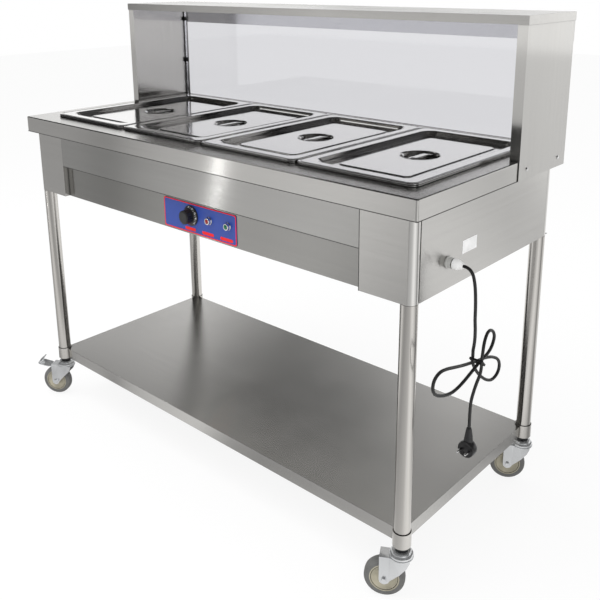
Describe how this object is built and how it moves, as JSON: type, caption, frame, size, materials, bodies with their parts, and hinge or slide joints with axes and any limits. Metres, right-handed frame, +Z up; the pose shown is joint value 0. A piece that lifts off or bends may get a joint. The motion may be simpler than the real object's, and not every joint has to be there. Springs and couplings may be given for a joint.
{
  "type": "mobile bain marie",
  "caption": "Mobile bain marie: stainless water well with drop-in pans and lids under a glass-backed hutch, front control panel, lower shelf and swivel casters.",
  "frame": {"origin": "floor level, midway between the four legs", "axes": "+X along the worktop to the right as seen from the front, +Y from the front to the back, +Z up"},
  "size_m": [1.5574, 0.6756, 1.27],
  "materials": {
    "sheet_steel": "satin brushed stainless sheet",
    "polished_steel": "bright polished stainless steel",
    "chrome_parts": "bright chrome",
    "zinc": "bright zinc plating",
    "element_metal": "heat-darkened tube",
    "brass": "plain brass",
    "red_paint": "red dipped lever",
    "blue_plate": "printed gloss plate",
    "clear_glass": "clear, very slightly grey",
    "red_lens": "translucent",
    "green_lens": "translucent",
    "black_plastic": "moulded",
    "dark_plastic": "moulded",
    "white_plastic": "moulded",
    "grey_plastic": "moulded",
    "beige_plastic": "moulded, slightly speckled",
    "cord_rubber": "smooth black sheath",
    "grey_tyre": "smooth grey rubber"
  },
  "bodies": {
    "cart": {"worktop": "sheet_steel", "pan_support_bars": "sheet_steel", "water_tank": "sheet_steel", "tank_walls": "sheet_steel", "element_cover": "sheet_steel", "front_strip": "sheet_steel", "front_corner_plates": "sheet_steel", "lower_front_panel": "sheet_steel", "side_panels": "sheet_steel", "rear_panel": "sheet_steel", "bottom_cover": "sheet_steel", "legs": "sheet_steel", "shelf_collars": "sheet_steel", "lower_shelf": "sheet_steel", "shelf_stiffeners": "sheet_steel", "hutch_sides": "sheet_steel", "hutch_top": "sheet_steel", "corner_posts": "polished_steel", "heating_elements": "element_metal", "element_bushes": "brass", "thermostat": "grey_plastic", "drain_valve": "brass", "hutch_glass": "clear_glass", "glass_clips": "dark_plastic", "hutch_screws": "chrome_parts", "control_plate": "blue_plate", "lamp_bezels": "chrome_parts", "red_lens": "red_lens", "green_lens": "green_lens", "cable_gland": "white_plastic", "cord_drop": "cord_rubber", "cord_loops": "cord_rubber", "cord_tail": "cord_rubber", "cord_tie": "black_plastic", "plug": "black_plastic", "caster_stems": "dark_plastic"},
    "pan_1_body": {"pan_1": "polished_steel"},
    "lid_1_body": {"lid_1": "polished_steel"},
    "pan_2_body": {"pan_2": "polished_steel"},
    "lid_2_body": {"lid_2": "polished_steel"},
    "pan_3_body": {"pan_3": "polished_steel"},
    "lid_3_body": {"lid_3": "polished_steel"},
    "pan_4_body": {"pan_4": "polished_steel"},
    "lid_4_body": {"lid_4": "polished_steel"},
    "knob_body": {"thermostat_knob": "black_plastic"},
    "drain_lever_body": {"drain_lever": "red_paint"},
    "swivel_front_left": {"fork_front_left": "zinc"},
    "wheel_front_left": {"hub_front_left": "beige_plastic", "tyre_front_left": "grey_tyre"},
    "pedal_front_left": {"brake_pedal_front_left": "zinc"},
    "swivel_front_right": {"fork_front_right": "zinc"},
    "wheel_front_right": {"hub_front_right": "beige_plastic", "tyre_front_right": "grey_tyre"},
    "swivel_rear_left": {"fork_rear_left": "zinc"},
    "wheel_rear_left": {"hub_rear_left": "beige_plastic", "tyre_rear_left": "grey_tyre"},
    "pedal_rear_left": {"brake_pedal_rear_left": "zinc"},
    "swivel_rear_right": {"fork_rear_right": "zinc"},
    "wheel_rear_right": {"hub_rear_right": "beige_plastic", "tyre_rear_right": "grey_tyre"}
  },
  "joints": [
    {"name": "pan_1_lift", "type": "slide", "parent": "cart", "child": "pan_1_body", "axis": [0, 0, 1], "range_m": [0, 0.16]},
    {"name": "lid_1_lift", "type": "slide", "parent": "pan_1_body", "child": "lid_1_body", "axis": [0, 0, 1], "range_m": [0, 0.12]},
    {"name": "pan_2_lift", "type": "slide", "parent": "cart", "child": "pan_2_body", "axis": [0, 0, 1], "range_m": [0, 0.16]},
    {"name": "lid_2_lift", "type": "slide", "parent": "pan_2_body", "child": "lid_2_body", "axis": [0, 0, 1], "range_m": [0, 0.12]},
    {"name": "pan_3_lift", "type": "slide", "parent": "cart", "child": "pan_3_body", "axis": [0, 0, 1], "range_m": [0, 0.16]},
    {"name": "lid_3_lift", "type": "slide", "parent": "pan_3_body", "child": "lid_3_body", "axis": [0, 0, 1], "range_m": [0, 0.12]},
    {"name": "pan_4_lift", "type": "slide", "parent": "cart", "child": "pan_4_body", "axis": [0, 0, 1], "range_m": [0, 0.16]},
    {"name": "lid_4_lift", "type": "slide", "parent": "pan_4_body", "child": "lid_4_body", "axis": [0, 0, 1], "range_m": [0, 0.12]},
    {"name": "knob_turn", "type": "hinge", "parent": "cart", "child": "knob_body", "pos_m": [0.008, -0.2925, 0.764], "axis": [0, 1, 0], "range_deg": [0, 270]},
    {"name": "drain_lever_turn", "type": "hinge", "parent": "cart", "child": "drain_lever_body", "pos_m": [-0.5, 0.1245, 0.671], "axis": [0, 1, 0], "range_deg": [0, 90]},
    {"name": "swivel_front_left_turn", "type": "hinge", "parent": "cart", "child": "swivel_front_left", "pos_m": [-0.678, -0.288, 0.115], "axis": [0, 0, 1], "continuous": true},
    {"name": "wheel_front_left_turn", "type": "hinge", "parent": "swivel_front_left", "child": "wheel_front_left", "pos_m": [-0.70918, -0.306, 0.047], "axis": [0.5, -0.866, 0], "continuous": true},
    {"name": "brake_front_left_press", "type": "hinge", "parent": "swivel_front_left", "child": "pedal_front_left", "pos_m": [-0.69878, -0.3, 0.0986], "axis": [0.5, -0.866, 0], "range_deg": [0, 8]},
    {"name": "swivel_front_right_turn", "type": "hinge", "parent": "cart", "child": "swivel_front_right", "pos_m": [0.678, -0.288, 0.115], "axis": [0, 0, 1], "continuous": true},
    {"name": "wheel_front_right_turn", "type": "hinge", "parent": "swivel_front_right", "child": "wheel_front_right", "pos_m": [0.64682, -0.306, 0.047], "axis": [0.5, -0.866, 0], "continuous": true},
    {"name": "swivel_rear_left_turn", "type": "hinge", "parent": "cart", "child": "swivel_rear_left", "pos_m": [-0.678, 0.288, 0.115], "axis": [0, 0, 1], "continuous": true},
    {"name": "wheel_rear_left_turn", "type": "hinge", "parent": "swivel_rear_left", "child": "wheel_rear_left", "pos_m": [-0.70918, 0.27, 0.047], "axis": [0.5, -0.866, 0], "continuous": true},
    {"name": "brake_rear_left_press", "type": "hinge", "parent": "swivel_rear_left", "child": "pedal_rear_left", "pos_m": [-0.69878, 0.276, 0.0986], "axis": [0.5, -0.866, 0], "range_deg": [0, 8]},
    {"name": "swivel_rear_right_turn", "type": "hinge", "parent": "cart", "child": "swivel_rear_right", "pos_m": [0.678, 0.288, 0.115], "axis": [0, 0, 1], "continuous": true},
    {"name": "wheel_rear_right_turn", "type": "hinge", "parent": "swivel_rear_right", "child": "wheel_rear_right", "pos_m": [0.64682, 0.27, 0.047], "axis": [0.5, -0.866, 0], "continuous": true}
  ]
}
